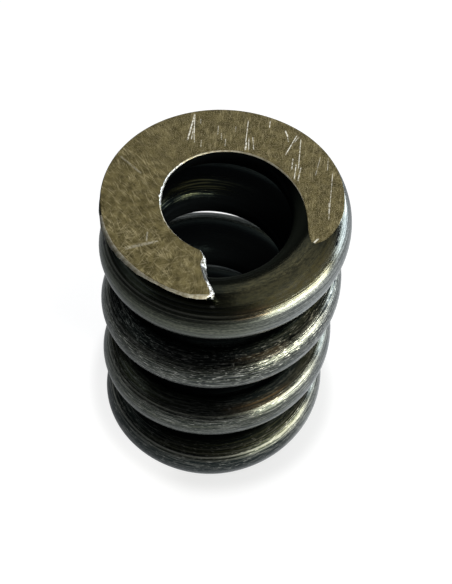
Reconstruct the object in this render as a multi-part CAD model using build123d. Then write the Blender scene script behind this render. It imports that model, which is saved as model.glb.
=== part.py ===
"""A heavy compression spring with closed and ground ends, coiled right-handed from one
round wire. It stands upright on its lower ground face: +Z runs up the coil's axis, and the
origin is on that axis, in the plane of the lower face. Sizes are in millimetres, angles in
degrees, and places along the wire in turns counted down from the upper wire end.

It is made as a real one is: the wire is coiled, each end is sheared off, and then the two
faces are ground flat.
"""

import os
from math import atan2, cos, degrees, pi, radians, sin, sqrt, tan

from build123d import *

# ---- Driving dimensions --------------------------------------------------------------
wire_diameter = 6.0
outside_diameter = 25.5  # over the free coils in the middle
free_length = 33.5  # between the two ground faces
total_turns = 4.58  # from one wire end to the other
upper_tip_angle = -97.0  # where the upper wire end lies, counted from +X about +Z

closing_turns = 0.59  # of flatter pitch at each end, to the middle of its blend
blend_turns = 0.10  # over which that pitch opens to the free one
tip_gap = 0.2  # left between a wire end and the coil it closes on
end_draw_in = 0.6  # how much narrower the coil is across at a wire end than in the middle

tip_thickness = 1.7  # what the grinding leaves of the wire at its very end
shear_slant = 22.0  # of the cut end off square, its outer corner reaching further
corner_length = 2.3  # of wire along which the shear has drawn that corner in
corner_depth = 0.5  # by which it is drawn in at the cut

# ---- Worked out from them ------------------------------------------------------------
wire_radius = wire_diameter / 2
mean_radius = outside_diameter / 2 - wire_radius
tip_height = free_length - tip_thickness + wire_radius  # of the wire's centre at the tip
tip_half_width = sqrt(wire_radius**2 - (wire_radius - tip_thickness) ** 2)  # ground flat's

# Each end turn comes down by one wire and its gap. The free turns share what is left of
# the length, so both pitches follow from the sizes above.
closed_drop = wire_diameter + tip_gap
free_turns = total_turns - 2
free_pitch = (free_length + wire_diameter - 2 * tip_thickness - 2 * closed_drop) / free_turns
end_pitch = (closed_drop - free_pitch * (1 - closing_turns)) / closing_turns

# ---- How the wire is drawn -----------------------------------------------------------
stations_per_turn = 16  # points that its centre line is carried through
end_run_turns = 0.25  # of each end, swept apart so that its shear stays off the coil below
spare_turns = 0.03  # swept past the tip for the shear to cut away


def drop_from_tip(turns):
    """How far the wire's centre has come down, that many turns from a wire end.

    The pitch goes from end_pitch to free_pitch as 3u^2 - 2u^3, u running from 0 to 1 over
    the blend. The integral of that is u^3 - u^4 / 2.
    """
    past_start = turns - (closing_turns - blend_turns / 2)
    u = min(max(past_start / blend_turns, 0.0), 1.0)
    opened = blend_turns * (u**3 - u**4 / 2) + max(past_start - blend_turns, 0.0)
    return end_pitch * turns + (free_pitch - end_pitch) * opened


def wire_centre(turns):
    """The wire's centre line, a helix whose pitch and radius change towards its two ends.

    Its lower half is its upper half turned over, so both ends are alike.
    """
    from_end = min(turns, total_turns - turns)
    radius = mean_radius - end_draw_in / 2 * max(1 - from_end, 0.0)
    height = tip_height - drop_from_tip(from_end)
    if turns > total_turns / 2:
        height = free_length - height
    angle = radians(upper_tip_angle) - 2 * pi * turns
    return Vector(radius * cos(angle), radius * sin(angle), height)


def wire_direction(turns, step=1e-4):
    """Unit vector along the centre line, down the wire."""
    return (wire_centre(turns + step) - wire_centre(turns - step)).normalized()


def coil_run(start, end):
    """The round wire from one place to another, swept along its centre line."""
    steps = max(4, round((end - start) * stations_per_turn))
    places = [start + (end - start) * k / steps for k in range(steps + 1)]
    path = Spline(
        [wire_centre(turns) for turns in places],
        tangents=[wire_direction(start), wire_direction(end)],
        tangent_scalars=[1, 1],
    )
    section = Plane(origin=wire_centre(start), z_dir=wire_direction(start)) * Circle(wire_radius)
    return sweep(section, path=path)


def upright_plane(point, facing):
    """The upright plane through a point, its normal turned that many degrees from +X."""
    return Plane(origin=point, z_dir=(cos(radians(facing)), sin(radians(facing)), 0))


def shear(end_run):
    """Cuts the upper end as the knife does, which slants it and draws its outer corner in."""
    tip = wire_centre(0)
    outwards = Vector(1, 0, 0).rotate(Axis.Z, upper_tip_angle)
    onwards = outwards.rotate(Axis.Z, 90)
    reach = tip_half_width - corner_depth
    corner = tip + outwards * reach + onwards * reach * tan(radians(shear_slant))
    corner_turn = degrees(atan2(corner_depth, corner_length))
    for point, facing in (
        (tip, upper_tip_angle + 90 + shear_slant),
        (corner, upper_tip_angle + corner_turn),
    ):
        end_run = split(end_run, bisect_by=upright_plane(point, facing), keep=Keep.BOTTOM)
    return end_run


def turned_over(shape):
    """The shape turned over end for end, which carries either end of the spring to the
    other: half a turn about the level line half way along the wire."""
    facing = radians(upper_tip_angle) - pi * total_turns
    half_way = Axis((0, 0, free_length / 2), (cos(facing), sin(facing), 0))
    return shape.rotate(half_way, 180)


def ground(coil):
    """The coil with both faces ground flat and square to its axis."""
    upper_face = Plane.XY.offset(free_length)
    coil = split(coil, bisect_by=upper_face, keep=Keep.BOTTOM)
    return split(coil, bisect_by=Plane.XY, keep=Keep.TOP)


def coil_spring():
    """The whole spring: two sheared ends, the coil between them, and the ground faces."""
    upper_end = shear(coil_run(-spare_turns, end_run_turns))
    middle = coil_run(end_run_turns, total_turns - end_run_turns)
    return ground(upper_end + middle + turned_over(upper_end))


os.makedirs("parts", exist_ok=True)
spring = coil_spring()
export_step(spring, "parts/coil_spring.step")

wire_length = 2 * pi * mean_radius * total_turns
print(f"pitch {end_pitch:.2f} mm at the ends and {free_pitch:.2f} mm between")
print(f"about {wire_length:.0f} mm of wire, {spring.volume / 1000:.2f} cm3 of steel")
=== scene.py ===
# %% [markdown]
# # A compression spring with ground ends
# A heavy spring is coiled from one round wire, its two ends are cut off, and both faces are then
# ground flat so that it stands upright and pushes squarely. This script gives the packed solid of
# such a spring its looks: the oxide skin of the drawn wire, the bare ground faces with their
# scratches, and the torn burr along the edges that the grinding leaves. Lengths in the formulas
# are in millimetres, and the finished meshes are in metres.

import bpy
import math
import numpy as np
from functools import cached_property, reduce
from mathutils import Matrix, Vector
from types import SimpleNamespace


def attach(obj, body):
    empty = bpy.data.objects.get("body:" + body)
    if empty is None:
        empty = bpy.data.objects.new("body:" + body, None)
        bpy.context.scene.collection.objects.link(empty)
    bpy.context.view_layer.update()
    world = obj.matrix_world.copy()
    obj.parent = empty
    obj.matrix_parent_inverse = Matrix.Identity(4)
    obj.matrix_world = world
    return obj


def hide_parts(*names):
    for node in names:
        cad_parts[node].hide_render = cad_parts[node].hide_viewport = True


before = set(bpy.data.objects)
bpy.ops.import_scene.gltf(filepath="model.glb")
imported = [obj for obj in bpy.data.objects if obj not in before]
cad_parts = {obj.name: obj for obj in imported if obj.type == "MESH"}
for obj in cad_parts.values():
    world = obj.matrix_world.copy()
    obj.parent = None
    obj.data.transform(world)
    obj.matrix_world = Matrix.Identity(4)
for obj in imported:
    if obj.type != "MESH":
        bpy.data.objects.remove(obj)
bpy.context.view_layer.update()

# %% [markdown]
# ## The sizes of the spring
# A spring is drawn from few sizes: its wire, its outside diameter, its free length, the number of
# turns and where the wire ends. The looks need the same sizes as the solid does, because the
# finish follows the wire turn by turn. They are written out again here, so this file can be read
# alone. An angle is counted from +X about +Z, and a place along the wire in turns from its upper
# end.

# %% Sizes of the spring
WIRE_RADIUS = 3.0
MEAN_RADIUS = 9.75
FREE_LENGTH = 33.5
TOTAL_TURNS = 4.58
TIP_ANGLE = math.radians(-97.0)
CLOSING_TURNS = 0.59
BLEND_TURNS = 0.10
END_DRAW_IN = 0.6
TIP_THICKNESS = 1.7
TIP_GAP = 0.2

turn_length = 2 * math.pi * MEAN_RADIUS
tip_height = FREE_LENGTH - TIP_THICKNESS + WIRE_RADIUS
closed_drop = 2 * WIRE_RADIUS + TIP_GAP
free_drop = 2 * tip_height - FREE_LENGTH - 2 * closed_drop
free_pitch = free_drop / (TOTAL_TURNS - 2)
end_pitch = (closed_drop - free_pitch * (1 - CLOSING_TURNS)) / CLOSING_TURNS
print(f"pitch: {end_pitch:.2f} mm at the ends, {free_pitch:.2f} mm between them")
print(f"a turn takes {turn_length:.2f} mm of wire")

# %% [markdown]
# ## The path of the wire
# The centre line is a helix whose pitch opens from a nearly closed one at the end to a wide one in
# the middle. One could trace it as a Blender curve with a round bevel, but a bevel gives no say in
# how each section is cut by the grinding wheel. So the whole wire is one numpy surface, and this
# cell gives its spine and the two directions that span each section.


# %% The path of the wire
RUN_OUT_LIFT = 0.06
RUN_OUT_RISE, RUN_OUT_FALL = (0.50, 0.70), (0.84, 1.10)


def drop_from_tip(turns):
    """How far the wire has come down: end pitch times turns, plus the extra pitch times the
    integral of 3u^2 - 2u^3, with u running from 0 to 1 over the blend between the two."""
    past_start = turns - (CLOSING_TURNS - BLEND_TURNS / 2)
    u = np.clip(past_start / BLEND_TURNS, 0, 1)
    opened = BLEND_TURNS * (u**3 - u**4 / 2) + np.maximum(past_start - BLEND_TURNS, 0)
    return end_pitch * turns + (free_pitch - end_pitch) * opened


def smooth(low, high, value):
    """3u^2 - 2u^3 for u running from 0 at low to 1 at high."""
    u = np.clip((value - low) / (high - low), 0, 1)
    return u * u * (3 - 2 * u)


def hill(value, rise, fall):
    """Smoothly up from 0 to 1 between the two values of rise, and down again over fall."""
    return smooth(*rise, value) * (1 - smooth(*fall, value))


def wire_centre(turns):
    """The upper half's centre line: radius times (cos, sin) of the angle wound so far, at the tip
    height less the drop. The radius narrows evenly over the first turn, and the wire bulges up by
    a hair where the ground face runs out."""
    radius = MEAN_RADIUS - END_DRAW_IN / 2 * np.maximum(1 - turns, 0)
    angle = TIP_ANGLE - 2 * np.pi * turns
    height = tip_height - drop_from_tip(turns)
    height = height + RUN_OUT_LIFT * hill(turns, RUN_OUT_RISE, RUN_OUT_FALL)
    return np.stack([radius * np.cos(angle), radius * np.sin(angle), height], axis=-1)


def section_axes(turns, step=1e-4):
    """The level outward direction and the upward direction of the section, both square to the
    wire, whose own direction is the difference of two near points of the centre line."""
    along = wire_centre(turns + step) - wire_centre(turns - step)
    along /= np.linalg.norm(along, axis=-1, keepdims=True)
    up = np.array([0.0, 0.0, 1.0]) - along * along[..., 2:]
    up /= np.linalg.norm(up, axis=-1, keepdims=True)
    return np.cross(up, along), up


check_out, check_up = section_axes(np.array([0.0, 1.0]))
print("outward at the tip:", check_out[0].round(3), "and upward:", check_up[0].round(3))

# %% [markdown]
# ## Cutting every section by the grinding wheel
# The wheel takes off all that stands above one level plane. In a section, that leaves a circle
# with a chord, and the chord's ends are the sharp edges that catch the light. If the columns of
# the mesh crossed those edges they would look like saw teeth, so the columns are shared out anew
# in each section: one group runs over the chord, one over the round, and one pair of columns
# lies along either edge with a narrow broken edge between them. In the middle of the spring all
# columns are evenly spread again, and there the upper half meets its own copy turned over.

# %% Columns of a section
ROUND_COLUMNS = 46
FLAT_COLUMNS = 34
COLUMNS = ROUND_COLUMNS + FLAT_COLUMNS

step_round = 2 * math.pi / COLUMNS
column = np.arange(COLUMNS)
is_flat = column >= ROUND_COLUMNS
even_angle = np.where(
    is_flat,
    2 * math.pi + (column - ROUND_COLUMNS - (FLAT_COLUMNS - 1) / 2) * step_round,
    math.pi + (column - (ROUND_COLUMNS - 1) / 2) * step_round,
)
print(COLUMNS, "columns,", FLAT_COLUMNS, "of them across the ground face")

# %% [markdown]
# ## The broken edges of the ground face
# A wheel never leaves its edges knife sharp. They are broken by a tenth or two of a millimetre,
# unevenly, and most beside the cut end. A Bevel modifier would give them all one width, so
# their widths are formulas of the place along the wire instead. They fade away where the face
# runs out, but never to nothing: a strip without any width would fold the mesh's faces together.

# %% Widths of the broken edges
OUTER_EDGE = 0.14
OUTER_BREAK = 0.20
INNER_EDGE = 0.15
EDGE_FADE = 0.97
OUTER_EDGE_WAVES = [(0.12, 0.9, 10), (0.15, 3.1, 20)]
OUTER_BREAK_WAVES = [(0.10, 0.7, 12), (0.12, 2.3, 22)]
RAGGED_PLACES = np.arange(-40, 6000)


def ragged(distance, spacing, seed):
    """Random heights between -1 and 1 at every spacing along a length, joined by straight runs."""
    heights = np.random.default_rng(seed).uniform(-1, 1, RAGGED_PLACES.size)
    return np.interp(distance, RAGGED_PLACES * spacing, heights)


def uneven(turns, waves):
    """1 plus the sum of some ragged lines, each given by its share, spacing and seed."""
    return 1 + sum(share * ragged(turns * turn_length, *wave) for share, *wave in waves)


def heavy_burr(turns):
    """1 where the wheel drags the most metal over: it sets in at once and dies away slowly."""
    dying = 0.70 * smooth(0.255, 0.300, turns) + 0.30 * smooth(0.32, 0.40, turns)
    return smooth(0.196, 0.212, turns) * (1 - dying)


def outer_edge(turns):
    """Width that the outer broken edge takes off the flat, fading out where the face ends."""
    narrowed = 1 - 0.6 * smooth(0.12, 0.24, turns)
    faded = 1 - EDGE_FADE * smooth(0.30, 0.72, turns)
    return OUTER_EDGE * uneven(turns, OUTER_EDGE_WAVES) * narrowed * faded


def outer_break(turns):
    """Width that it takes off the round: widest beside the cut end, where the wheel comes on."""
    share = 0.35 + 0.65 * (1 - smooth(0.10, 0.22, turns))
    faded = 1 - EDGE_FADE * smooth(0.30, 0.70, turns)
    return OUTER_BREAK * share * uneven(turns, OUTER_BREAK_WAVES) * faded


def inner_edge(turns):
    """Width of the inner broken edge: short ragged steps where the burr is heavy."""
    burr = heavy_burr(turns)
    steps = 1 + (0.1 + 0.2 * burr) * ragged(turns * turn_length, 0.34, 11)
    faded = 1 - EDGE_FADE * smooth(0.60, 0.73, turns)
    return INNER_EDGE * (0.7 + burr) * steps * faded


for place in (0.05, 0.23, 0.50):
    widths = [width(np.array(place)) for width in (outer_edge, outer_break, inner_edge)]
    print(f"edge widths at turn {place}, mm:", [round(float(width), 3) for width in widths])

# %% [markdown]
# ## The section as one formula
# Every corner of the mesh is worked out from its turn and its column. The angle runs from the top
# of the section (0) outwards and down (half a turn) and up again on the inner side. On the ground
# face, equal steps across the chord are turned into angles with an arc sine, and the height is
# then capped at the wheel's plane. Beside every edge one pair of columns is held close together,
# so that the smooth shading turns over a hair's breadth there and doesn't spread over the face.

# %% Angles of the columns
EDGE_HOLD = 0.05
WIDEST_EDGE = 0.3  # of half the chord
WIDEST_HOLD = 0.06  # of half the chord


def shared_out(start, end, hold, first, count):
    """Places from start to end for a group of columns: the outermost two lie at the ends, the
    next two at the distance hold from them, and the others share the rest evenly."""
    share = np.clip((column - first - 1) / (count - 3), 0, 1)
    places = start + hold + (end - start - 2 * hold) * share
    places = np.where(column == first, start, places)
    return np.where(column == first + count - 1, end, places)


def section_angle(turns, half_chord_angle, spread):
    """Angle of every column from the top of its section, in radians.

    Round columns share the arc from one broken edge to the other; flat columns share the chord.
    Both are then blended by spread towards even steps all round.
    """
    start = half_chord_angle + outer_break(turns) / WIRE_RADIUS
    end = 2 * math.pi - half_chord_angle - inner_edge(turns) / WIRE_RADIUS
    round_hold = EDGE_HOLD / WIRE_RADIUS * (1 - spread)
    around = shared_out(start, end, round_hold, 0, ROUND_COLUMNS)

    half_chord = WIRE_RADIUS * np.sin(half_chord_angle)
    inner_start = -1 + np.minimum(inner_edge(turns) / half_chord, WIDEST_EDGE)
    outer_end = 1 - np.minimum(outer_edge(turns) / half_chord, WIDEST_EDGE)
    flat_hold = np.minimum(EDGE_HOLD / half_chord, WIDEST_HOLD)
    across = shared_out(inner_start, outer_end, flat_hold, ROUND_COLUMNS, FLAT_COLUMNS)
    chord = 2 * math.pi + np.arcsin(across * np.sin(half_chord_angle))
    return (1 - spread) * np.where(is_flat, chord, around) + spread * even_angle


ground_angles = section_angle(np.array([[0.3]]), np.array([[0.9]]), 0.0)
narrowest = float(np.abs(np.diff(ground_angles)).min())
print(f"the narrowest strip of a ground section is {math.degrees(narrowest):.2f} degrees wide")


# %% [markdown]
# ## The sheared tip
# The cut that parts the spring from the rest of the wire is never square: the knife leaves the
# outer corner a little further on, draws it in, and tears the last of the metal. The tip's row of
# corners is moved along the wire until it lies in the slanted plane of the cut, the rows after it
# straighten out over a few millimetres, and a given line of small steps gives the torn edge.

# %% Sizes of the cut
SHEAR_SLANT = math.radians(22.0)
CORNER_LENGTH = 2.3
CORNER_DEPTH = 0.5
STRAIGHTEN_TURNS = 0.10

tip_half_width = math.sqrt(WIRE_RADIUS**2 - (WIRE_RADIUS - TIP_THICKNESS) ** 2)
tip = wire_centre(np.array(0.0))
tip_out = np.array([math.cos(TIP_ANGLE), math.sin(TIP_ANGLE), 0.0])
tip_on = np.array([-tip_out[1], tip_out[0], 0.0])
shear_normal = tip_on * math.cos(SHEAR_SLANT) - tip_out * math.sin(SHEAR_SLANT)
corner_turn = math.atan2(CORNER_DEPTH, CORNER_LENGTH)
corner_normal = tip_out * math.cos(corner_turn) + tip_on * math.sin(corner_turn)
corner_reach = tip_half_width - CORNER_DEPTH
corner = tip + tip_out * corner_reach + tip_on * corner_reach * math.tan(SHEAR_SLANT)
print("the drawn-in corner lies at, mm:", corner[:2].round(2))

# %% The wire's surface
EVEN_FROM, EVEN_AFTER = 0.82, 1.5  # turns
LEAST_CHORD_ANGLE = 0.12
DRAWN_IN_TURNS = 0.15


def wire_surface(turns):
    """Corners of the wire for an array of turns, one column of it for each mesh column.

    In the section plane a corner is (r sin a, r cos a), capped above at the wheel's plane and
    outside at the drawn-in corner's plane, with r the wire's radius and a the column's angle.
    Returns the corners, and their places (along the wire, outwards, upwards) in the section.
    """
    centre = wire_centre(turns)
    out, up = section_axes(turns)
    wheel = (FREE_LENGTH - centre[..., 2]) / up[..., 2]
    chord_angle = np.arccos(np.clip(wheel / WIRE_RADIUS, -1, 1))
    chord_angle = np.maximum(chord_angle, LEAST_CHORD_ANGLE)
    angle = section_angle(turns, chord_angle, smooth(EVEN_FROM, EVEN_AFTER, turns))
    outwards = WIRE_RADIUS * np.sin(angle)
    upwards = np.minimum(WIRE_RADIUS * np.cos(angle), wheel)

    gap = np.sum((corner - centre) * corner_normal, axis=-1)
    limit = gap / np.sum(out * corner_normal, axis=-1)
    narrowed = outwards * np.minimum(limit / (WIRE_RADIUS * np.sin(chord_angle)), 1)
    drawn = np.where(is_flat & (outwards > 0), narrowed, np.minimum(outwards, limit))
    outwards = np.where(turns < DRAWN_IN_TURNS, drawn, outwards)

    corners = centre + out * outwards[..., None] + up * upwards[..., None]
    return corners, np.stack([turns * turn_length, outwards, upwards], axis=-1)


section_at_half = wire_surface(np.full((1, COLUMNS), 0.5))[1][0]
print("half a turn on, the face is, mm wide:", float(np.ptp(section_at_half[is_flat, 1]).round(2)))


# %% [markdown]
# ## Rows of the mesh
# Rows lie close together where the ground edges are, because their burr needs corners every
# sixth of a millimetre, and further apart round the plain turns. Each column finds its own place
# in the plane of the cut by a few steps of Newton's rule: go on by the distance still left to the
# plane over the length of a turn. The torn steps then move the upper part of the cut back and
# forth along the wire.

# %% Rows from the tip to the middle
FINE_ROWS = 300
COARSE_ROWS = 205
FINE_UNTIL = 0.84
WIDENING = 1.12
LIP_ROWS = [0.0, 0.0054, 0.0066]
NEWTON_STEPS = 8

fine = np.linspace(0, FINE_UNTIL, FINE_ROWS)
shares = np.linspace(0, 1, COARSE_ROWS + 1)[1:]
coarse = FINE_UNTIL + (TOTAL_TURNS / 2 - FINE_UNTIL) * shares**WIDENING
rows = np.concatenate([LIP_ROWS, fine[len(LIP_ROWS) :], coarse])

cut_turns = np.zeros((1, COLUMNS))
for _ in range(NEWTON_STEPS):
    corners, _section = wire_surface(cut_turns)
    left = np.sum((corners - tip) * shear_normal, axis=-1)
    cut_turns += left / (turn_length * math.cos(SHEAR_SLANT))
corners, section = wire_surface(cut_turns)
print("left to the plane of the cut, mm:", float(np.abs(left).max().round(5)))

# %% Tear the cut
TORN_PLACES = [-1.0, -0.90, -0.79, -0.68, -0.56, -0.38, 0.08, 0.24, 0.36, 0.62, 0.74, 0.84]
TORN_STEPS = [-0.30, 0.02, 0.20, 0.08, -0.18, -0.40, -0.24, -0.12, 0.08, 0.16, 0.14, -0.14]
TORN_GRAIN = 0.07
TORN_FROM, TORN_FULL = -3.1, -2.4  # mm upwards in the section

across_tip = np.clip(section[0, :, 1] / tip_half_width, -1, 1)
torn = np.interp(across_tip, TORN_PLACES, TORN_STEPS) + TORN_GRAIN * ragged(across_tip, 0.06, 5)
torn_share = smooth(TORN_FROM, TORN_FULL, section[0, :, 2])
cut_turns = cut_turns - torn * torn_share / turn_length

straighten = np.clip(1 - rows / STRAIGHTEN_TURNS, 0, 1)[:, None]
upper_turns = rows[:, None] + cut_turns * straighten
upper, upper_section = wire_surface(upper_turns)
print(len(rows), "rows of corners in the upper half")

# %% [markdown]
# ## The burr
# Grinding drags a thin lip of metal over the edges. It stands proudest along the inner edge on
# the side where the wheel leaves the face, along the outer edge beside the cut, and along the torn
# tip. The columns of each edge are moved by ragged amounts, away from the middle of the section,
# and the tip's first row is let down so that it makes a narrow broken edge of its own.

# %% Raise the burr
INNER_BURR = 0.20
OUTER_BURR_TURNS = [0.0, 0.03, 0.055, 0.07, 0.10, 0.13, 0.17, 0.22]
OUTER_BURR = [0.26, 0.22, 0.15, 0.17, 0.32, 0.36, 0.30, 0.0]
TIP_LIP = 0.34
LIP_PLACES = [-1.0, -0.92, -0.45, -0.34, 0.22, 0.36, 1.0]
LIP_SHARES = [0.2, 0.55, 0.45, 0.2, 0.2, 0.9, 1.0]

out, _up = section_axes(upper_turns)
run = upper_section[..., 0]
inner_pair = np.isin(column, [ROUND_COLUMNS - 1, ROUND_COLUMNS])
inner_lip = INNER_BURR * heavy_burr(upper_turns) * (0.7 + 0.2 * ragged(run, 0.30, 31)) * inner_pair
upper -= out * inner_lip[..., None]
outer_lip = np.interp(upper_turns, OUTER_BURR_TURNS, OUTER_BURR) * (column == 0)
outer_lip = outer_lip * (1 + 0.30 * ragged(run, 0.45, 33))
upper += out * outer_lip[..., None]

lip_share = np.interp(across_tip, LIP_PLACES, LIP_SHARES) * (1 + 0.5 * ragged(across_tip, 0.07, 6))
tip_lip = TIP_LIP * lip_share * is_flat
upper[0, :, 2] -= tip_lip
for name, lip in (("inner", inner_lip), ("outer", outer_lip), ("tip", tip_lip)):
    print(f"{name} burr stands up to {lip.max():.2f} mm")

# %% [markdown]
# ## Turning the half over
# Both ends of such a spring are made alike, so the lower half is the upper one turned over: half
# a turn about a level line through the middle of the wire. Its columns run the other way round,
# which one list of column numbers puts right.

# %% Turn the upper half over
half_way = TIP_ANGLE - math.pi * TOTAL_TURNS
level = np.array([math.cos(half_way), math.sin(half_way), 0.0])
mirrored = (ROUND_COLUMNS - 1 - COLUMNS // 2 - column) % COLUMNS


def turned_over(points):
    """2 (p . a) a - p for the level axis a, which is half a turn about it, then lifted so that
    the axis lies at half the free length."""
    turned = 2 * (points @ level)[..., None] * level - points
    return turned + np.array([0.0, 0.0, FREE_LENGTH])


lower = turned_over(upper[:, mirrored])[::-1]
lower_section = upper_section[:, mirrored][::-1] * np.array([-1.0, 1.0, -1.0])
lower_section[..., 0] += TOTAL_TURNS * turn_length
grid = np.concatenate([upper, lower[1:]])
grid_section = np.concatenate([upper_section, lower_section[1:]])
print("the halves meet within, mm:", float(np.abs(upper[-1] - lower[0]).max().round(6)))

# %% [markdown]
# ## A pitch that is not quite even
# A coiling machine never keeps its pitch to a hair. On this spring the second coil rides a little
# high, most of all at the rear, where it is a sixtieth of the spring's length. The others lie where
# an even pitch puts them. A Lattice could bend the mesh so, but coils that lie above each other
# would move together. Lifting each corner by how far along the wire it lies moves one coil alone.

# %% Lift the second coil
LIFTS = [
    # mm, rising between two turns, falling between two more
    (0.34, (0.92, 1.32), (2.20, 2.90)),
    (0.22, (1.18, 1.44), (1.50, 1.80)),
]

grid_turns = grid_section[..., 0] / turn_length
lift = sum(most * hill(grid_turns, rise, fall) for most, rise, fall in LIFTS)
grid[..., 2] += lift
print("second coil lifted by up to, mm:", float(lift.max().round(3)))

# %% [markdown]
# ## Closing the cut ends
# What is left open are the two faces of the cut. One face with eighty corners would close such a
# hole, but it shades in odd triangles. So rings of corners shrink from the cut's edge onto its
# middle, and a fan of triangles closes the last ring. The corners are then joined to quads, and
# the first column follows the last one again, so the surface has no seam.

# %% Close the two cut ends
RING_SHARES = [0.975, 0.8, 0.55, 0.28]


def end_rings(edge):
    """Rings between a cut's edge and its middle: middle + share * (edge - middle)."""
    middle = edge.mean(axis=0)
    return middle + np.array(RING_SHARES)[:, None, None] * (edge - middle), middle


surface = np.concatenate([grid, grid_section], axis=-1)
upper_rings, upper_middle = end_rings(surface[0])
lower_rings, lower_middle = end_rings(surface[-1])
surface = np.concatenate([upper_rings[::-1], surface, lower_rings])
row_count = len(surface)
every_corner = np.concatenate([surface.reshape(-1, 6), [upper_middle, lower_middle]])
vertices, run_of_wire = every_corner[:, :3], every_corner[:, 3:]
print(row_count, "rows with the rings,", len(vertices), "corners")

# %% Join the corners to faces
row, col = np.meshgrid(np.arange(row_count - 1), column, indexing="ij")
here, below = row * COLUMNS, (row + 1) * COLUMNS
turn_on = (column + 1) % COLUMNS
next_col = turn_on[col]
quads = [here + col, below + col, below + next_col, here + next_col]
quads = np.stack(quads, axis=-1).reshape(-1, 4)

upper_hub, lower_hub = len(vertices) - 2, len(vertices) - 1
last_row = (row_count - 1) * COLUMNS
first_fan = np.stack([np.full(COLUMNS, upper_hub), column, turn_on], axis=-1)
last_fan = np.stack([np.full(COLUMNS, lower_hub), last_row + turn_on, last_row + column], axis=-1)
print(2 * len(quads) + 2 * COLUMNS, "triangles")

# %% [markdown]
# ## Which metal each face shows
# Four finishes meet on the wire: the oxide skin, the bare ground face, the edge that is broken
# round it, and the burr and torn metal. A face belongs to the ground face if all of its corners
# lie in the wheel's plane, and to a broken edge if only some of them do. The broken edge is pale
# metal all along the inner side but only beside the cut on the outer side, where the rest is as
# dark as the skin. The torn metal is where the burr is heavy, along the tip and in the cut.

# %% Sort the faces
SKIN, GROUND, TORN, EDGE = 0, 1, 2, 3
PLANE_TOLERANCE = 0.002
EDGE_UNTIL = 0.72
OUTER_PALE_UNTIL = 0.19
BURR_SHOWS = 0.20

height = vertices[:, 2]
in_plane = np.minimum(np.abs(height - FREE_LENGTH), np.abs(height)) < PLANE_TOLERANCE
planar_corners = in_plane[quads].sum(axis=1)
broken = (planar_corners > 0) & (planar_corners < 4)
quad_turns = np.abs(run_of_wire[quads[:, 0], 0] / turn_length)
quad_turns = np.minimum(quad_turns, TOTAL_TURNS - quad_turns)
inner_side = run_of_wire[quads, 1].mean(axis=1) < 0
pale = quad_turns < np.where(inner_side, EDGE_UNTIL, OUTER_PALE_UNTIL)
burred = inner_side & (heavy_burr(quad_turns) > BURR_SHOWS)

rings = len(RING_SHARES)
quad_row = row.reshape(-1)
from_end = np.minimum(quad_row, row_count - 2 - quad_row)
finishes = [
    (planar_corners == 4, GROUND),
    (broken & (quad_turns >= EDGE_UNTIL), GROUND),
    (broken & pale, EDGE),
    (broken & (burred | (from_end == rings)), TORN),
    (from_end < rings, TORN),
]
quad_finish = np.full(len(quads), SKIN)
for chosen, finish_number in finishes:
    quad_finish = np.where(chosen, finish_number, quad_finish)
print("faces of skin, ground, torn, edge:", np.bincount(quad_finish))

# %% [markdown]
# ## Into a mesh
# The arrays go into the mesh whole. The place of each corner along the wire and in its section
# goes with them as an attribute, and the finishes read it: draw lines follow the wire, and no
# seam shows because the section's two coordinates close on themselves.

# %% Make the mesh
METRES = 0.001


def spring_mesh(name):
    """A closed mesh from the rows of quads and the two fans, in metres, shaded smooth."""
    mesh = bpy.data.meshes.new(name)
    faces = quads.tolist() + first_fan.tolist() + last_fan.tolist()
    mesh.from_pydata((vertices * METRES).tolist(), [], faces)
    finish = np.concatenate([quad_finish, np.full(2 * COLUMNS, TORN)]).astype(np.int32)
    mesh.polygons.foreach_set("material_index", finish)
    mesh.polygons.foreach_set("use_smooth", np.ones(len(faces), dtype=bool))
    places = mesh.attributes.new("run_of_wire", "FLOAT_VECTOR", "POINT")
    places.data.foreach_set("vector", run_of_wire.astype(np.float32).reshape(-1))
    mesh.update()
    mesh.validate()
    return mesh


def signed_volume(mesh):
    """A sixth of the sum of a . (b x c) over triangles, which is positive if faces look out."""
    mesh.calc_loop_triangles()
    triangles = np.zeros(len(mesh.loop_triangles) * 3, dtype=np.int32)
    mesh.loop_triangles.foreach_get("vertices", triangles)
    a, b, c = (vertices * METRES)[triangles.reshape(-1, 3)].transpose(1, 0, 2)
    return float(np.sum(a * np.cross(b, c)) / 6)


wire_mesh = spring_mesh("coil_of_wire")
volume = signed_volume(wire_mesh)
if volume < 0:
    wire_mesh.flip_normals()
print(f"volume {abs(volume) * 1e9:.0f} mm3, turned outwards: {volume < 0}")
coil = bpy.data.objects.new("coil_of_wire", wire_mesh)
bpy.context.scene.collection.objects.link(coil)
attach(coil, "root")
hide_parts("coil_spring")

# %% [markdown]
# ## Arithmetic for finishes
# A finish is a small sum of patterns. Written as nodes and links it is hard to read, so a socket
# is wrapped in a class whose operators add Math nodes, and 1 - mask then means what it says.
# Colours and vectors go through their own nodes, because a Math node would turn them grey.


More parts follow.
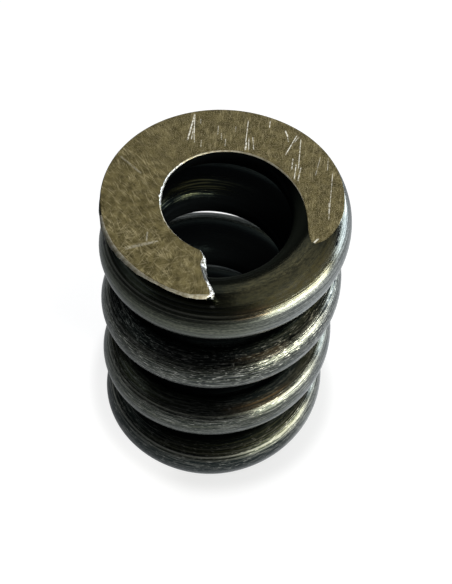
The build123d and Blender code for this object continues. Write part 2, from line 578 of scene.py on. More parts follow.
# %% A socket with arithmetic
class Signal:
    """An output socket of a finish. Sums, products and quotients with it add Math nodes."""

    def __init__(self, finish, socket):
        self.finish = finish
        self.socket = socket

    def math(self, operation, first, second=0.0):
        settings = {"operation": operation}
        return self.finish.node("ShaderNodeMath", settings, {0: first, 1: second})

    def __add__(self, other):
        return self.math("ADD", self, other)

    def __radd__(self, other):
        return self.math("ADD", other, self)

    def __sub__(self, other):
        return self.math("SUBTRACT", self, other)

    def __rsub__(self, other):
        return self.math("SUBTRACT", other, self)

    def __mul__(self, other):
        return self.math("MULTIPLY", self, other)

    def __rmul__(self, other):
        return self.math("MULTIPLY", other, self)

    def __truediv__(self, other):
        return self.math("DIVIDE", self, other)

    def __abs__(self):
        return self.math("ABSOLUTE", self)

    def greatest(self, other):
        return self.math("MAXIMUM", self, other)

    def rise(self, low, high):
        """0 below low, 1 above high and a smooth step between them."""
        settings = {"interpolation_type": "SMOOTHSTEP"}
        return self.finish.node(
            "ShaderNodeMapRange", settings, {"Value": self, "From Min": low, "From Max": high}
        )

    def hill(self, rise, fall):
        """Up from 0 to 1 between the two values of rise, and down again over fall."""
        return self.rise(*rise) * (1 - self.rise(*fall))


def greatest_of(signals):
    """The greatest of several signals."""
    return reduce(Signal.greatest, signals)


print("a signal adds nodes for + - * / abs, greatest, rise and hill")

# %% [markdown]
# ## A finish being made
# One method adds any node: its settings are set first, then its sockets get values or links. The
# other methods are the few groups of nodes that every finish of this spring needs, so that a
# finish further down reads as what it is made of.


# %% A finish being made
class Finish:
    """A material being made, whose one method adds any node."""

    def __init__(self, name):
        self.material = bpy.data.materials.new(name)
        self.material.use_nodes = True
        self.tree = self.material.node_tree
        self.tree.nodes.clear()

    def node(self, kind, settings=None, inputs=None, output=0):
        """Adds a node: its settings first, then values or links into its sockets."""
        made = self.tree.nodes.new(kind)
        for name, value in (settings or {}).items():
            setattr(made, name, value)
        for name, value in (inputs or {}).items():
            if isinstance(value, Signal):
                self.tree.links.new(value.socket, made.inputs[name])
            else:
                made.inputs[name].default_value = value
        return Signal(self, made.outputs[output])

    def blend(self, share, first, second):
        """first where share is 0 and second where it is 1, as colours."""
        settings = {"data_type": "RGBA"}
        return self.node("ShaderNodeMix", settings, {0: share, 6: first, 7: second}, 2)

    def parts(self, vector):
        """The three numbers of a vector, each as a signal."""
        outputs = self.node("ShaderNodeSeparateXYZ", None, {"Vector": vector}).socket.node.outputs
        return [Signal(self, outputs[name]) for name in "XYZ"]

    def metres(self):
        """The place on the piece, in metres."""
        return self.node("ShaderNodeTexCoord", output=3)

    def millimetres(self):
        """The place on the piece, in millimetres."""
        inputs = {0: self.metres(), "Scale": 1 / METRES}
        return self.node("ShaderNodeVectorMath", {"operation": "SCALE"}, inputs)

    def stretched(self, place, turn, cell, shift):
        """Coordinates shifted, turned about Z, and counted in cells of the given three sizes."""
        settings = {"vector_type": "TEXTURE"}
        inputs = {"Vector": place, "Location": shift, "Rotation": (0, 0, turn), "Scale": cell}
        return self.node("ShaderNodeMapping", settings, inputs)

    def noise(self, place, scale=1.0, detail=2.0, roughness=0.5):
        """Noise from 0 to 1, about 0.5 in the mean."""
        inputs = {"Vector": place, "Scale": scale, "Detail": detail, "Roughness": roughness}
        return self.node("ShaderNodeTexNoise", {"noise_dimensions": "3D"}, inputs)

    def bump(self, height, strength, distance):
        """The normal of a surface on which a height of 1 stands for this distance in metres."""
        inputs = {"Strength": strength, "Distance": distance, "Height": height}
        return self.node("ShaderNodeBump", None, inputs)

    def metal(self, colour, roughness, others):
        """A metallic shader, and what its other sockets get."""
        inputs = {"Base Color": colour, "Roughness": roughness, "Metallic": 1.0}
        inputs.update(others)
        return self.node("ShaderNodeBsdfPrincipled", None, inputs)

    def done(self, shader):
        """Joins the shader to the material's output."""
        output = self.tree.nodes.new("ShaderNodeOutputMaterial")
        self.tree.links.new(shader.socket, output.inputs["Surface"])
        print("finish", self.material.name, "has", len(self.tree.nodes), "nodes")
        return self.material


print("a finish can add:", [name for name in vars(Finish) if not name.startswith("_")])

# %% [markdown]
# ## The felt of the grinding wheel
# Grinding leaves bare steel with a dull, slightly yellow bloom. Close up it is a felt of short
# strokes, each a track of one grain of the wheel. Most run straight back over the spring, on the
# left they lean over, and a few cross them. One stretched noise would be too orderly, so strokes
# of six directions are laid over each other, and each set is broken up by a coarser noise.

# %% Strokes of the grinding wheel
STRAIGHT = [(88, 1.1, 0.10, 0), (99, 0.8, 0.08, 4)]  # degrees, length, width, seed
LEANT = [(138, 1.2, 0.13, 9), (116, 0.9, 0.11, 13)]
ACROSS = [(62, 1.0, 0.12, 17), (20, 0.9, 0.12, 22)]


def strokes(finish, place, degrees, length, width, seed):
    """Short strokes in one direction: stretched noise above a level, times a coarser one."""
    turn = math.radians(degrees)
    fine_place = finish.stretched(place, turn, (length, width, 1.0), (seed, 2 * seed, 0))
    coarse_place = finish.stretched(place, turn, (length, length * 0.5, 1.0), (3 * seed, seed, 0))
    stroke = finish.noise(fine_place, detail=1.0).rise(0.50, 0.72)
    patch = finish.noise(coarse_place, detail=0.0).rise(0.38, 0.60)
    return stroke * patch


def stroke_pair(finish, place, pair, seed):
    """The sum of two sets of strokes."""
    first, second = (strokes(finish, place, *size, seed + more) for *size, more in pair)
    return first + second


def stroke_felt(finish, place, leaning, crossed, seed):
    """One felt: strokes straight back, strokes that lean on the left side, and a few across."""
    straight = stroke_pair(finish, place, STRAIGHT, seed)
    leant = stroke_pair(finish, place, LEANT, seed)
    across = stroke_pair(finish, place, ACROSS, seed)
    main = straight * (1 - leaning) + leant * leaning
    return main + across * (0.30 + 0.55 * crossed)


print("a felt is laid in", len(STRAIGHT + LEANT + ACROSS), "directions")

# %% [markdown]
# ## Scratches one by one
# Over the even felt lie some scratches that a handler would remember: bright, straight and longer
# than the rest. A noise can't put them in their places, so they are listed one by one. Each is a
# thin box in the plane of the face, given by its middle, its direction, its length and its width,
# and faded towards its ends and sides. A fine noise breaks it into dashes.

# %% The scratches
SCRATCHES = [
    # middle x, y, direction in degrees, length, width, brightness
    (-4.28, 9.60, 83, 4.0, 0.16, 1.0),
    (-3.98, 9.90, 93, 3.0, 0.12, 0.9),
    (-4.10, 8.60, 88, 1.6, 0.11, 0.8),
    (-3.85, 8.05, 97, 1.3, 0.10, 0.6),
    (-3.37, 10.45, 94, 0.7, 0.10, 0.7),
    (-3.10, 7.40, 91, 1.0, 0.10, 0.6),
    (-1.50, 9.45, 91, 1.4, 0.09, 0.5),
    (-1.10, 8.60, 95, 1.0, 0.09, 0.5),
    (-0.64, 7.80, 92, 1.1, 0.10, 0.8),
    (0.30, 9.80, 88, 0.8, 0.09, 0.4),
    (1.47, 9.10, 88, 4.5, 0.10, 0.8),
    (1.75, 7.90, 92, 1.8, 0.10, 0.8),
    (2.20, 8.00, 96, 1.9, 0.09, 0.7),
    (1.50, 7.60, 88, 1.3, 0.13, 0.9),
    (3.80, 10.90, 87, 1.1, 0.11, 0.8),
    (5.58, 9.72, 110, 1.0, 0.15, 1.0),
    (5.75, 8.90, 100, 0.6, 0.10, 0.6),
    (6.10, 8.20, 69, 3.2, 0.11, 1.0),
    (6.65, 9.05, 62, 1.2, 0.09, 0.6),
    (7.00, 7.10, 88, 4.4, 0.10, 0.8),
    (6.30, 5.60, 87, 1.6, 0.11, 0.7),
    (6.62, 4.60, 86, 2.2, 0.10, 0.9),
    (7.05, 4.30, 82, 2.0, 0.11, 0.8),
    (8.90, 5.60, 80, 2.8, 0.09, 0.4),
    (8.92, -4.10, 52, 0.8, 0.17, 0.8),
    (10.25, 1.75, 87, 6.6, 0.09, 0.6),
    (10.10, 0.10, 90, 1.6, 0.10, 0.6),
    (9.90, 5.95, 88, 1.8, 0.09, 0.5),
    (-9.90, 3.70, 138, 3.4, 0.24, 0.15),
    (-7.90, -6.42, 22, 3.2, 0.36, 0.20),
    (-6.80, -5.98, 22, 1.3, 0.16, 0.28),
    (-7.35, -5.30, 90, 1.3, 0.16, 0.24),
]


def scratches(finish, place):
    """The greatest of all scratches: brightness * (1 - side) * (1 - end), each fading smoothly."""
    x, y, _z = finish.parts(place)
    marks = []
    for middle_x, middle_y, degrees, length, width, brightness in SCRATCHES:
        c = math.cos(math.radians(degrees))
        s = math.sin(math.radians(degrees))
        along = abs(x * c + y * s - (middle_x * c + middle_y * s))
        aside = abs(y * c - x * s - (middle_y * c - middle_x * s))
        side = aside.rise(width * 0.2, width * 0.7)
        end = along.rise(length * 0.4, length * 0.5)
        marks.append((1 - side) * (1 - end) * brightness)
    grain = finish.noise(place, scale=4.0, detail=1.0).rise(0.38, 0.52)
    return greatest_of(marks) * (0.25 + 0.75 * grain)


print(len(SCRATCHES), "scratches, the longest", max(mark[3] for mark in SCRATCHES), "mm long")

# %% [markdown]
# ## The ground face
# The face is laid up like paint: a mottled plain steel, dark strokes and pits over it, pale
# strokes and bright specks over those, and the scratches last. Towards the far right, where the
# wheel has torn more out, pits and specks are thicker. One felt drives the dark strokes and
# another the pale ones. Their difference is also the relief, so that light picks them out.

# %% The ground face
PLAIN_STEEL = (0.212, 0.183, 0.088, 1.0)
DARK_STEEL = (0.058, 0.049, 0.022, 1.0)
PALE_STEEL = (0.52, 0.46, 0.28, 1.0)
SCRATCHED = (0.97, 0.97, 0.92, 1.0)
DARK_FELT, PALE_FELT = 47.3, 3.1  # seeds


def ground_face():
    """Plain steel, then dark strokes and pits, pale strokes and specks, and the scratches."""
    finish = Finish("ground_steel")
    place = finish.millimetres()
    x, y, _z = finish.parts(place)
    leaning = (0 - x - 0.2 * y).rise(1.0, 8.0)
    crossed = leaning * (0 - y).rise(1.0, 7.0)
    busy = (0.6 * x + 0.8 * y).rise(-7.0, 6.0)

    pale = stroke_felt(finish, place, leaning, crossed, PALE_FELT)
    dark = stroke_felt(finish, place, leaning, crossed, DARK_FELT)
    mottle = finish.noise(place, scale=1.1, detail=3.0, roughness=0.6).rise(0.30, 0.72)
    pits = finish.noise(place, scale=6.0, detail=2.0, roughness=0.6).rise(0.54, 0.68)
    specks = finish.noise(place, scale=10.0, detail=1.0, roughness=0.6).rise(0.54, 0.68)
    scratch = scratches(finish, place)

    colour = finish.blend(0.35 + mottle * 0.65 - 0.16 * busy, DARK_STEEL, PLAIN_STEEL)
    pitted = pits * (0.30 + 0.75 * busy)
    colour = finish.blend((dark * 0.55).greatest(pitted), colour, DARK_STEEL)
    colour = finish.blend((pale * 0.42).greatest(specks * busy * 0.8), colour, PALE_STEEL)
    colour = finish.blend(scratch, colour, SCRATCHED)
    rough = 0.42 - 0.06 * mottle - 0.20 * scratch
    normal = finish.bump(pale - dark + scratch, 0.35, 0.00001)
    return finish.done(finish.metal(colour, rough, {"Normal": normal}))


wire_finishes = {GROUND: ground_face()}

# %% [markdown]
# ## The oxide skin
# Spring wire is drawn through a die and then hardened, so its skin is a thin black oxide over
# steel with fine lines along the wire. Where coils have rubbed or the skin has flaked, brighter
# metal shows as streaks and specks. The attribute made with the mesh says how far along the wire
# each corner lies, so a noise counted in long thin cells of it draws lines that follow the coil.
# The place round the section is an angle: 0 is outermost and 90 degrees the top of the wire.

# %% Patterns along the wire
PATTERNS = {
    # a cell's length, width and height in mm, its shift, the noise's detail and roughness
    "lines": ((24.0, 0.20, 0.20), (0, 5, 0), 2.0, 0.5),
    "hairlines": ((5.0, 0.10, 0.10), (4, 0, 2), 1.0, 0.5),
    "threads": ((2.6, 0.07, 0.07), (6, 2, 8), 2.0, 0.5),
    "scale": ((0.7, 0.16, 0.16), (3, 1, 6), 3.0, 0.5),
    "flecks": ((0.6, 0.10, 0.10), (2, 3, 4), 1.0, 0.5),
    "bloom": ((0.60, 0.22, 0.22), (5, 2, 7), 4.0, 0.7),
    "grain": ((0.25, 0.10, 0.10), (9, 7, 5), 1.0, 0.5),
    "zones": ((16.0, 4.0, 4.0), (1, 8, 3), 1.0, 0.5),
}


class WireFinish(Finish):
    """A finish of the wire, which knows how far along the wire each place lies, and how far
    outwards and upwards in its section, all in millimetres."""

    def __init__(self, name):
        super().__init__(name)
        self.run = self.node("ShaderNodeAttribute", {"attribute_name": "run_of_wire"}, output=1)
        self.along, self.outwards, self.upwards = self.parts(self.run)
        self.made = {}

    @cached_property
    def angle(self):
        """The place round the section, in radians: the arc tangent of upwards over outwards."""
        return self.upwards.math("ARCTAN2", self.upwards, self.outwards)

    def pattern(self, name):
        """One noise of the table, made when it is first asked for."""
        if name not in self.made:
            cell, shift, detail, roughness = PATTERNS[name]
            place = self.stretched(self.run, 0, cell, shift)
            self.made[name] = self.noise(place, detail=detail, roughness=roughness)
        return self.made[name]


print(len(PATTERNS), "patterns along the wire:", ", ".join(PATTERNS))

# %% [markdown]
# ## Marks one by one
# A few pits, nicks, rubs and brown stains stand out from the even pattern, and the die has left
# some lines that run on for whole turns. Each mark is an ellipse in the unrolled skin, given by
# how far along the wire and at which angle it lies.

# %% Marks on the wire
PITS = [
    # along the wire, angle round it in degrees, half length, half width, strength
    (47.7, 50, 0.35, 0.16, 1.0),
    (46.9, 53, 0.20, 0.10, 1.0),
    (72.9, 35, 0.28, 0.20, 1.0),
    (115.2, 40, 0.25, 0.12, 1.0),
    (116.4, 37, 0.20, 0.10, 1.0),
]
NICKS = [
    (45.4, 56, 0.30, 0.12, 0.9),
    (60.2, 57, 0.22, 0.12, 0.8),
    (43.6, 44, 1.40, 0.09, 0.9),
]
RUBS = [
    (148.8, 64, 2.4, 0.07, 0.18),
]
STAINS = [
    (57.2, 38, 1.6, 0.60, 0.7),
    (117.0, 48, 2.6, 0.45, 0.5),
    (177.8, 50, 3.4, 0.50, 0.6),
]
DIE_LINES = [
    # angle round the wire in degrees, half width, strength
    (38, 0.13, 0.8),
    (30, 0.09, 0.35),
    (47, 0.07, 0.35),
    (56, 0.08, 0.25),
]


def spots(skin, places):
    """The greatest of the spots of one list: each is strength * (1 - end) * (1 - side)."""
    found = []
    for middle, degrees, half_length, half_width, strength in places:
        off_along = abs(skin.along - middle) / half_length
        off_side = abs(skin.angle - math.radians(degrees)) * (WIRE_RADIUS / half_width)
        found.append((1 - off_along.rise(0.4, 1.2)) * (1 - off_side.rise(0.4, 1.2)) * strength)
    return greatest_of(found)


def die_lines(skin):
    """The greatest of the lines that the die has drawn, each at one angle round the wire."""
    found = []
    for degrees, half_width, strength in DIE_LINES:
        off_side = abs(skin.angle - math.radians(degrees)) * (WIRE_RADIUS / half_width)
        found.append((1 - off_side.rise(0.3, 1.3)) * strength)
    return greatest_of(found)


print(len(PITS + NICKS + RUBS + STAINS), "marks and", len(DIE_LINES), "die lines")

# %% [markdown]
# ## Stretches of the wire
# The coils don't look alike. The first one has been handled and is smoother, the right side and
# the front of the second are rough, and the last one, next to the bench, is darker: partly a
# blacker skin, partly painted shade for the dimmer light that reaches it. So the skin first works
# out on which stretch a place lies. Each share runs from 0 to 1 over some millimetres of wire, so
# no border shows.


# %% Stretches of the wire
FIRST_ENDS = (80.0, 100.0)
LAST_STARTS = (196.0, 232.0)
STRETCHES = {
    # mm along the wire, between which the share rises, and between which it falls
    "under_tip": ((39.0, 45.0), (62.0, 70.0)),
    "bronzed": ((45.5, 51.5), (55.5, 61.5)),
    "olive": ((66.0, 76.0), (86.0, 96.0)),
    "rough": ((90.0, 104.0), (128.0, 140.0)),
    "crest": ((136.0, 142.0), (155.0, 162.0)),
}


def stretches(skin):
    """Shares of the stretches that differ, and how far right a place is, x, in metres."""
    x, _y, _z = skin.parts(skin.metres())
    hills = {name: skin.along.hill(rise, fall) for name, (rise, fall) in STRETCHES.items()}
    first = 1 - skin.along.rise(*FIRST_ENDS)
    return SimpleNamespace(
        x=x,
        first=first,
        later=1 - first,
        last=skin.along.rise(*LAST_STARTS) * (1 - x.rise(0.0078, 0.0112)),
        # how far right, towards the window: there the worn steel gets a painted sheen
        right=x.rise(0.001, 0.010) * first + x.rise(0.0055, 0.0115) * (1 - first),
        coarse=0.12 + 0.28 * (1 - first) + 0.60 * hills["rough"],
        **hills,
    )


for name, (rise, fall) in STRETCHES.items():
    print(f"{name}: turns {rise[0] / turn_length:.2f} to {fall[1] / turn_length:.2f}")


# %% [markdown]
# ## Where the skin is rubbed, and its painted shade
# A coil is rubbed where it stands out, on its outer side. The same share also carries painted
# shade: it is lowered on the tops of the lower coils, in the shade of the coil above, on the left,
# which faces away from the lamps, on the lowest coil, on the lower coils away from their right
# rim, and on one crest at the rear, seen through the hole. The rub is then broken into streaks
# along the wire and into grains, since only the high spots of the drawn skin are worn through.


# %% Rubbed and worn shares, with painted shade
RUBBED_FROM, RUBBED_FULL = 0.4, 2.6  # mm outwards


def rub_and_shade_share(skin, part):
    """Rises with the place outwards, and is lowered as painted shade where little light falls."""
    # painted shade: on the left, away from the lamps, the rub keeps to the outermost band, most on
    # the first coil
    narrowed = (0.45 + 0.55 * part.first) * (1 - part.x.rise(-0.002, 0.003))
    narrowed = narrowed * (1 - skin.outwards.rise(2.0, 2.9))
    rub_and_shade = skin.outwards.rise(RUBBED_FROM, RUBBED_FULL)
    # painted shade on the lowest coil, whose skin is also blacker, and on the tops of the lower
    # coils under the coil above
    rub_and_shade = rub_and_shade * (1 - 0.95 * part.last) * (1 - 0.75 * narrowed)
    rub_and_shade = rub_and_shade * (1 - 0.85 * part.later * skin.angle.rise(0.68, 0.98))
    # painted shade on the rear crest, and on the lower coils away from their right rim
    rim_side = part.x.rise(0.006, 0.011)
    return rub_and_shade * (1 - 0.6 * part.crest) * (1 - (0.23 - 0.13 * rim_side) * part.later)


def streaks(skin):
    """Broad lines and hairlines in equal shares."""
    broad = skin.pattern("lines").rise(0.42, 0.58)
    fine = skin.pattern("hairlines").rise(0.44, 0.60)
    return broad * 0.5 + fine * 0.5


def wear_and_shade_share(skin, part, rub_and_shade, streak):
    """The rub with its painted shade, times the streaks, times patches of scale, times grains."""
    patches = 0.55 + 0.45 * skin.pattern("scale").rise(0.38, 0.58)
    lined = 1 - (0.85 - 0.25 * part.first) * (1 - streak)
    wear_and_shade = rub_and_shade * lined * patches.greatest(part.first * 0.9)
    return wear_and_shade * (0.66 + 0.60 * skin.pattern("grain").rise(0.36, 0.64))


rub_angles = [math.degrees(math.acos(mm / WIRE_RADIUS)) for mm in (RUBBED_FULL, RUBBED_FROM)]
print(f"rubbed in full to {rub_angles[0]:.0f} degrees, and not past {rub_angles[1]:.0f}")

# %% [markdown]
# ## The colours of the skin
# The colour is built up in layers as on the real wire: the black oxide, worn steel where it is
# rubbed, bright threads, then the tints of heat and handling, and the marks last. On the right,
# towards the window, the worn steel is painted brighter: a painted sheen of the lit side.

# %% Oxide, worn steel with a painted sheen, and threads
OXIDE = (0.010, 0.015, 0.016, 1.0)
WORN_OXIDE = (0.122, 0.132, 0.103, 1.0)
LIT_RIGHT_STEEL = (0.215, 0.230, 0.225, 1.0)
BARE_SPECK = (0.42, 0.43, 0.40, 1.0)


def worn_colour(skin, part, wear_and_shade, streak, drawn):
    """Oxide, blended to worn steel by the worn share, painted brighter on the lit right side, under
    bright threads and die lines.
    """
    # painted sheen: the worn steel lightens towards the right, where the window lights the coils
    lit_right_share = part.right * (1 - 0.4 * skin.along.rise(*LAST_STARTS))
    steel = skin.blend(lit_right_share, WORN_OXIDE, LIT_RIGHT_STEEL)
    colour = skin.blend(wear_and_shade + 0.05 * streak, OXIDE, steel)
    threads = skin.pattern("threads").rise(0.53, 0.64) * skin.outwards.rise(0.0, 1.4)
    threads = threads * part.later * (1 - 0.5 * part.last)
    threads = threads * (1 - 0.6 * skin.angle.rise(0.70, 1.05) * part.x.rise(-0.006, 0.0))
    return skin.blend((drawn * 0.55).greatest(threads * 0.40), colour, BARE_SPECK)


print(f"worn steel is {WORN_OXIDE[1] / OXIDE[1]:.0f} times as bright as the oxide")

# %% Tints
BRONZED = (0.132, 0.126, 0.074, 1.0)
OLIVE = (0.114, 0.118, 0.054, 1.0)
COPPER = (0.260, 0.185, 0.115, 1.0)


def inner_olive(skin, part):
    """An olive bloom on the inner side of one stretch, in hairlines."""
    inner_side = (0 - skin.outwards).rise(0.7, 1.8) * skin.upwards.rise(0.8, 1.8)
    return inner_side * part.olive * skin.pattern("hairlines").rise(0.48, 0.62)


def tinted(skin, part, streak, inner, colour):
    """Bronze where the face runs out, olive on the tops of the coils, copper-brown stains."""
    side = skin.outwards.rise(-2.8, 0.6) * skin.upwards.rise(1.2, 2.3)
    mottle = 0.40 + 0.60 * skin.pattern("bloom").rise(0.38, 0.62)
    colour = skin.blend(part.bronzed * side * mottle, colour, BRONZED)
    top = skin.outwards.rise(0.2, 1.4) * skin.upwards.rise(1.2, 2.2)
    olive = top * streak * skin.pattern("zones").rise(0.40, 0.60)
    colour = skin.blend((olive * 0.35).greatest(inner * 0.34), colour, OLIVE)
    return skin.blend(spots(skin, STAINS) * (0.1 + 0.9 * streak), colour, COPPER)


for name, tint in (("bronze", BRONZED), ("olive", OLIVE), ("copper", COPPER)):
    print(f"{name} has {tint[0] / tint[2]:.1f} times as much red as blue")

# %% Pits, bare flecks and marks
PIT = (0.004, 0.005, 0.006, 1.0)
BARE_STEEL = (0.90, 0.91, 0.88, 1.0)


def marked(skin, part, colour):
    """Dark pits, then flecks and nicks where the skin has come off, then bright rubs."""
    pitted = skin.pattern("scale").rise(0.55, 0.64) * part.coarse
    colour = skin.blend((pitted * 0.9).greatest(spots(skin, PITS)), colour, PIT)
    bare = skin.pattern("flecks").rise(0.58, 0.68) * skin.outwards.rise(0.2, 2.0) * part.coarse
    bare = bare * (0.3 + 0.7 * skin.pattern("grain").rise(0.45, 0.55))
    colour = skin.blend(bare.greatest(spots(skin, NICKS)), colour, BARE_SPECK)
    return skin.blend(spots(skin, RUBS), colour, BARE_STEEL)


print(f"bare steel is {BARE_STEEL[1] / PIT[1]:.0f} times as bright as a pit")

# %% [markdown]
# ## Relief and painted shade
# The relief is what breaks the long highlight of a lamp into lines and glints. It is finer on
# the first coil, and calmer on the right, where the skin is polished. The inner side lies in the
# shade inside the coil, so a plain dark shader is mixed in there by a factor as painted shade. In
# the lap under the tip this painted shade is less and a little lighter, and on one crest at the
# rear it is thinner.

# %% Relief and painted shade
INNER_SHADE = (0.004, 0.005, 0.006, 1.0)
UNDER_TIP_DARK = (0.030, 0.036, 0.029, 1.0)
SKIN_RELIEF = 0.00006  # metres


def skin_relief(skin, part):
    """Lines along the wire, plus scale and grain that grow with the coarse share."""
    calm = 1 - 0.6 * part.x.rise(0.001, 0.006)
    lined = skin.pattern("lines") * 0.5 + skin.pattern("hairlines") * (0.4 - 0.25 * part.first)
    grainy = skin.pattern("scale") * 0.4 + skin.pattern("grain") * 1.4
    return lined + grainy * (0.20 + 0.45 * part.coarse) * calm


def inner_shade_share(skin, part, inner):
    """Painted shade, most on the inner side, less in the lap under the tip, on the rear crest and
    on the olive lines.
    """
    top_side = skin.upwards.rise(1.2, 2.3) * skin.outwards.rise(-2.2, -1.2)
    shaded_inside = (0.9 - skin.outwards).rise(0.0, 1.3) * (1 - inner)
    shaded_inside = shaded_inside * (1 - 0.65 * part.under_tip * top_side)
    return 0.90 * shaded_inside * (1 - 0.45 * part.crest * skin.outwards.rise(0.0, 0.9))


print(f"the skin's relief is counted in {SKIN_RELIEF / METRES:.2f} mm")

# %% The whole skin
EDGE_TINT = (0.82, 0.84, 0.86, 1.0)


def oxide_skin():
    """The layers of colour over a relief, as metal, mixed with the painted shade of the inner side.
    """
    skin = WireFinish("oxide_skin")
    part = stretches(skin)
    rub_and_shade = rub_and_shade_share(skin, part)
    streak = streaks(skin)
    wear_and_shade = wear_and_shade_share(skin, part, rub_and_shade, streak)
    drawn = die_lines(skin) * skin.pattern("zones").rise(0.30, 0.55) * skin.along.rise(56.0, 62.0)
    inner = inner_olive(skin, part)

    colour = worn_colour(skin, part, wear_and_shade, streak, drawn)
    colour = tinted(skin, part, streak, inner, colour)
    colour = marked(skin, part, colour)
    rough = 0.15 + 0.06 * rub_and_shade + 0.04 * streak + 0.03 * part.coarse + 0.22 * drawn
    rough = rough + 0.12 * part.last
    normal = skin.bump(skin_relief(skin, part), 0.5, SKIN_RELIEF)
    steel = skin.metal(colour, rough, {"Normal": normal, "Specular Tint": EDGE_TINT})

    # painted shade of the inner side: a dark diffuse shader, a little lighter in the lap under the
    # tip
    shade_colour = skin.blend(part.under_tip * skin.upwards.rise(0.4, 1.4), INNER_SHADE, UNDER_TIP_DARK)
    shade_shader = skin.node("ShaderNodeBsdfDiffuse", None, {"Color": shade_colour})
    shares = {0: inner_shade_share(skin, part, inner), 1: steel, 2: shade_shader}
    return skin.done(skin.node("ShaderNodeMixShader", None, shares))


wire_finishes[SKIN] = oxide_skin()

# %% [markdown]
# ## Burr and torn metal
# The lip at the edges and the face of the cut are fresh steel, bright and uneven. A noise breaks
# their colour and their surface, so they glint in short dashes. Deeper in the cut, in its middle
# and its lower part, the steel is darker. The broken edge round the face is paler than the face,
# because the wheel only brushes it, and half dull, so that it shows as an even line from every
# side.

# %% The torn metal
TORN_GREY = (0.40, 0.39, 0.33, 1.0)
TORN_BRIGHT = (0.97, 0.97, 0.95, 1.0)
CUT_DARK = (0.05, 0.05, 0.045, 1.0)
CUT_REACH = (2.2, 1.8)  # mm before the wire's end


def torn_metal():
    """Grey to bright steel by a noise, darker in the middle and the lower part of the cut."""
    finish = WireFinish("torn_steel")
    grain = finish.noise(finish.millimetres(), scale=4.0, detail=3.0, roughness=0.65)
    bright = finish.blend(grain.rise(0.34, 0.52), TORN_GREY, TORN_BRIGHT)
    half_wire = 0.5 * TOTAL_TURNS * turn_length
    from_middle = abs(finish.along - half_wire)
    at_cut = from_middle.rise(*(half_wire - reach for reach in CUT_REACH))
    middle = finish.outwards.hill((-1.15, -0.90), (0.55, 0.85))
    below = (0 - finish.upwards).rise(1.70, 2.00)
    colour = finish.blend(at_cut * middle.greatest(below) * 0.9, bright, CUT_DARK)
    normal = finish.bump(grain, 0.7, 0.00005)
    return finish.done(finish.metal(colour, 0.36, {"Normal": normal}))


wire_finishes[TORN] = torn_metal()

# %% The broken edge
EDGE_DULL = (0.66, 0.60, 0.44, 1.0)
EDGE_PALE = (0.97, 0.94, 0.82, 1.0)


def broken_edge():
    """Dull to pale steel by a noise, half metallic."""
    finish = Finish("edge_steel")
    grain = finish.noise(finish.millimetres(), scale=2.4, detail=3.0, roughness=0.6)
    colour = finish.blend(grain.rise(0.34, 0.62), EDGE_DULL, EDGE_PALE)
    return finish.done(finish.metal(colour, 0.52, {"Metallic": 0.5}))


wire_finishes[EDGE] = broken_edge()
for number in (SKIN, GROUND, TORN, EDGE):
    wire_mesh.materials.append(wire_finishes[number])
print("finishes in order:", [material.name for material in wire_mesh.materials])

# %% [markdown]
# ## The floor
# The spring stands on a plain white sheet. Its whiteness is in the sheet: rays from the camera see
# a glow just under white, to which the lamps add the rest, so the sheet keeps the spring's soft
# shadow. Close to the spring the glow is weaker, a little less so at the left front: a painted
# contact shadow, since the spring hides half of the room from the sheet there. A mirrored ray sees
# the sheet's glow with painted light and shade: brightest towards the window, and dim where a dark
# room would lie over it, far off at the left front and behind the spring. Under the spring it
# doesn't glow at all, a painted shade there.

# %% The sheet's glow
SHEET_HALF = 2.0
TO_WINDOW = -15.0  # degrees from +X about +Z
TO_LEFT_FRONT = -150.0
TO_REAR = 90.0


def towards(finish, unit, degrees):
    """The cosine between a place's direction from the spring and one direction on the floor."""
    direction = (math.cos(math.radians(degrees)), math.sin(math.radians(degrees)), 0.0)
    inputs = {0: unit, 1: direction}
    return finish.node("ShaderNodeVectorMath", {"operation": "DOT_PRODUCT"}, inputs, "Value")


def sheet_glow(finish):
    """The greater of what the camera sees, with a painted contact shadow near the spring, and what
    a mirrored ray sees, with painted light and shade, off the spring's foot.
    """
    place = finish.metres()
    radius = finish.node("ShaderNodeVectorMath", {"operation": "LENGTH"}, {0: place}, "Value")
    unit = finish.node("ShaderNodeVectorMath", {"operation": "NORMALIZE"}, {0: place})
    left_front = towards(finish, unit, TO_LEFT_FRONT)
    rays = finish.node("ShaderNodeLightPath").socket.node.outputs
    camera_ray, glossy_ray, through_ray = (
        Signal(finish, rays[name])
        for name in ("Is Camera Ray", "Is Glossy Ray", "Is Transmission Ray")
    )
    # painted contact shadow: the camera's glow is lower close to the spring
    near_glow = 0.71 + 0.12 * left_front.rise(0.55, 0.95)
    seen = camera_ray * (near_glow + 0.19 * radius.rise(0.0132, 0.0158))
    # painted shade in the mirrored sheet, far off at the left front and behind the spring
    far_left_shade = radius.rise(0.045, 0.100) * left_front.rise(0.0, 0.7)
    far_behind_shade = radius.rise(0.024, 0.060) * towards(finish, unit, TO_REAR).rise(0.5, 0.9)
    mirrored_ray = glossy_ray.greatest(through_ray)
    # painted light in the mirrored sheet, brightest towards the window
    mirrored = mirrored_ray * (0.70 + 0.35 * towards(finish, unit, TO_WINDOW))
    mirrored = mirrored * (1 - 0.85 * far_left_shade.greatest(far_behind_shade))
    # no glow under the spring: painted shade there
    return seen.greatest(mirrored) * radius.rise(0.008, 0.0125)


print("mirrored sheet: brightest towards", TO_WINDOW, "and dim towards", TO_LEFT_FRONT, TO_REAR)

# %% White sheet
PAPER = (0.30, 0.31, 0.335, 1.0)
WHITE = (1.0, 1.0, 1.0, 1.0)


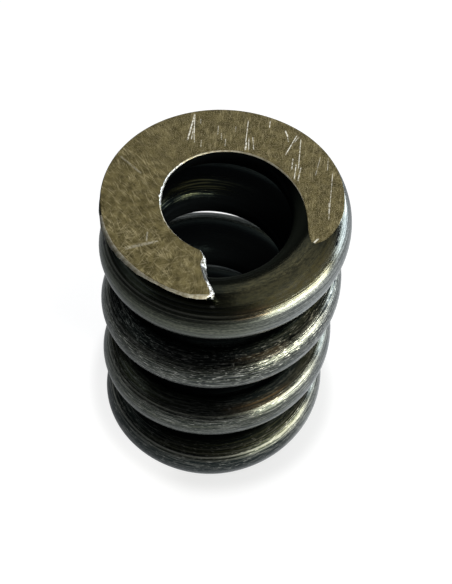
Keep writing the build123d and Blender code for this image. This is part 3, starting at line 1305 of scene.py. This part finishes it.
def white_sheet():
    """Paper that takes the light and the shadow, plus the glow."""
    finish = Finish("white_sheet")
    glow_inputs = {"Color": WHITE, "Strength": sheet_glow(finish)}
    glow = finish.node("ShaderNodeEmission", None, glow_inputs)
    paper = finish.node("ShaderNodeBsdfDiffuse", None, {"Color": PAPER})
    return finish.done(finish.node("ShaderNodeAddShader", None, {0: glow, 1: paper}))


corner_signs = np.array([[-1, -1, 0], [1, -1, 0], [1, 1, 0], [-1, 1, 0]])
sheet_mesh = bpy.data.meshes.new("sheet")
sheet_mesh.from_pydata((corner_signs * SHEET_HALF).tolist(), [], [[0, 1, 2, 3]])
sheet_mesh.materials.append(white_sheet())
sheet = bpy.data.objects.new("sheet", sheet_mesh)
bpy.context.scene.collection.objects.link(sheet)
print("the sheet is", 2 * SHEET_HALF, "m wide")

# %% [markdown]
# ## Lamps
# Dark metal is seen by what it mirrors, so each panel stands for something in the room. A long low
# window at the right draws the bright line down the coils, with a softer glow above it. A pale
# wall further round lights the right rim, and a dim one behind shows on the rear coils, between
# the front ones. The ceiling behind gives the ground face its even tone, and a skylight
# softens it. A weak fill at the left picks out the far rim. The rest of the room is dim, which
# keeps the gaps between the coils black.

# %% Lamps and room
LAMPS = [
    # name, turn and rise in degrees, distance, width, height, radiance, colour
    ("window", -32, 4.0, 0.30, 0.31, 0.080, 14.5, (1.0, 0.96, 0.80)),
    ("window_glow", -24, 42, 0.40, 0.50, 0.28, 0.45, (1.0, 0.90, 0.64)),
    ("bright_wall", 34, 5, 0.30, 0.32, 0.12, 6.8, (0.88, 0.95, 1.0)),
    ("ceiling", 90, 50, 0.50, 0.50, 0.28, 0.88, (1.0, 0.97, 0.88)),
    ("skylight", 10, 78, 0.50, 0.60, 0.36, 0.40, (1.0, 0.97, 0.90)),
    ("back_wall", 85, 4, 0.40, 0.40, 0.07, 0.75, (0.95, 0.98, 1.0)),
    ("fill", 180, 28, 0.45, 0.30, 0.16, 0.20, (0.90, 1.0, 0.97)),
]
ROOM_COLOUR, ROOM_STRENGTH = (0.95, 0.98, 1.0, 1.0), 0.045

lamp_aim = Vector((0, 0, 0.5 * FREE_LENGTH * METRES))


def panel(name, turn, rise, distance, width, height, radiance, colour):
    """A flat lamp facing the spring. Its power in watts is radiance times pi times its area."""
    turn, rise = math.radians(turn), math.radians(rise)
    level_share = math.cos(rise)
    away = Vector((level_share * math.cos(turn), level_share * math.sin(turn), math.sin(rise)))
    data = bpy.data.lights.new(name, "AREA")
    data.shape = "RECTANGLE"
    data.size = width
    data.size_y = height
    data.energy = radiance * math.pi * width * height
    data.color = colour
    lamp = bpy.data.objects.new(name, data)
    lamp.location = lamp_aim + away * distance
    lamp.rotation_mode = "QUATERNION"
    lamp.rotation_quaternion = away.to_track_quat("Z", "Y")
    bpy.context.scene.collection.objects.link(lamp)
    print(f"{name}: {data.energy:.2f} W")


for lamp in LAMPS:
    panel(*lamp)

world = bpy.data.worlds.new("room")
world.use_nodes = True
room = world.node_tree.nodes["Background"]
room.inputs["Color"].default_value = ROOM_COLOUR
room.inputs["Strength"].default_value = ROOM_STRENGTH
bpy.context.scene.world = world
bpy.context.scene.view_settings.view_transform = "Standard"

# %% [markdown]
# ## The camera
# It looks down on the spring from close by, as a hand would hold it, so the near end is drawn
# larger than the far one. Its place and its aim are given in millimetres, and it is turned a
# little about its own line of sight, which a Track To constraint couldn't do.

# %% Place the camera
CAMERA_PLACE = Vector((0.0, -79.48, 125.83))
CAMERA_AIM = Vector((0.73, 0.81, 17.35))
CAMERA_ROLL = math.radians(5.15)
FOCAL_LENGTH, SENSOR_WIDTH = 76.07, 36.0
CLIP_START, CLIP_END = 0.005, 20.0

lens = bpy.data.cameras.new("camera")
lens.lens = FOCAL_LENGTH
lens.sensor_width = SENSOR_WIDTH
lens.clip_start = CLIP_START
lens.clip_end = CLIP_END
camera = bpy.data.objects.new("camera", lens)
sight = (CAMERA_AIM - CAMERA_PLACE).normalized()
level_right = sight.cross(Vector((0, 0, 1))).normalized()
level_up = level_right.cross(sight)
right = level_right * math.cos(CAMERA_ROLL) + level_up * math.sin(CAMERA_ROLL)
upright = level_up * math.cos(CAMERA_ROLL) - level_right * math.sin(CAMERA_ROLL)
turned = Matrix((right, upright, -sight)).transposed()
camera.location = CAMERA_PLACE * METRES
camera.rotation_mode = "QUATERNION"
camera.rotation_quaternion = turned.to_quaternion()
bpy.context.scene.collection.objects.link(camera)
bpy.context.scene.camera = camera
print("camera's right and up:", [round(v, 4) for v in right], [round(v, 4) for v in upright])

# %% [markdown]
# ## The end
# The view layer is brought up to date once more.

# %% Update the view layer
bpy.context.view_layer.update()
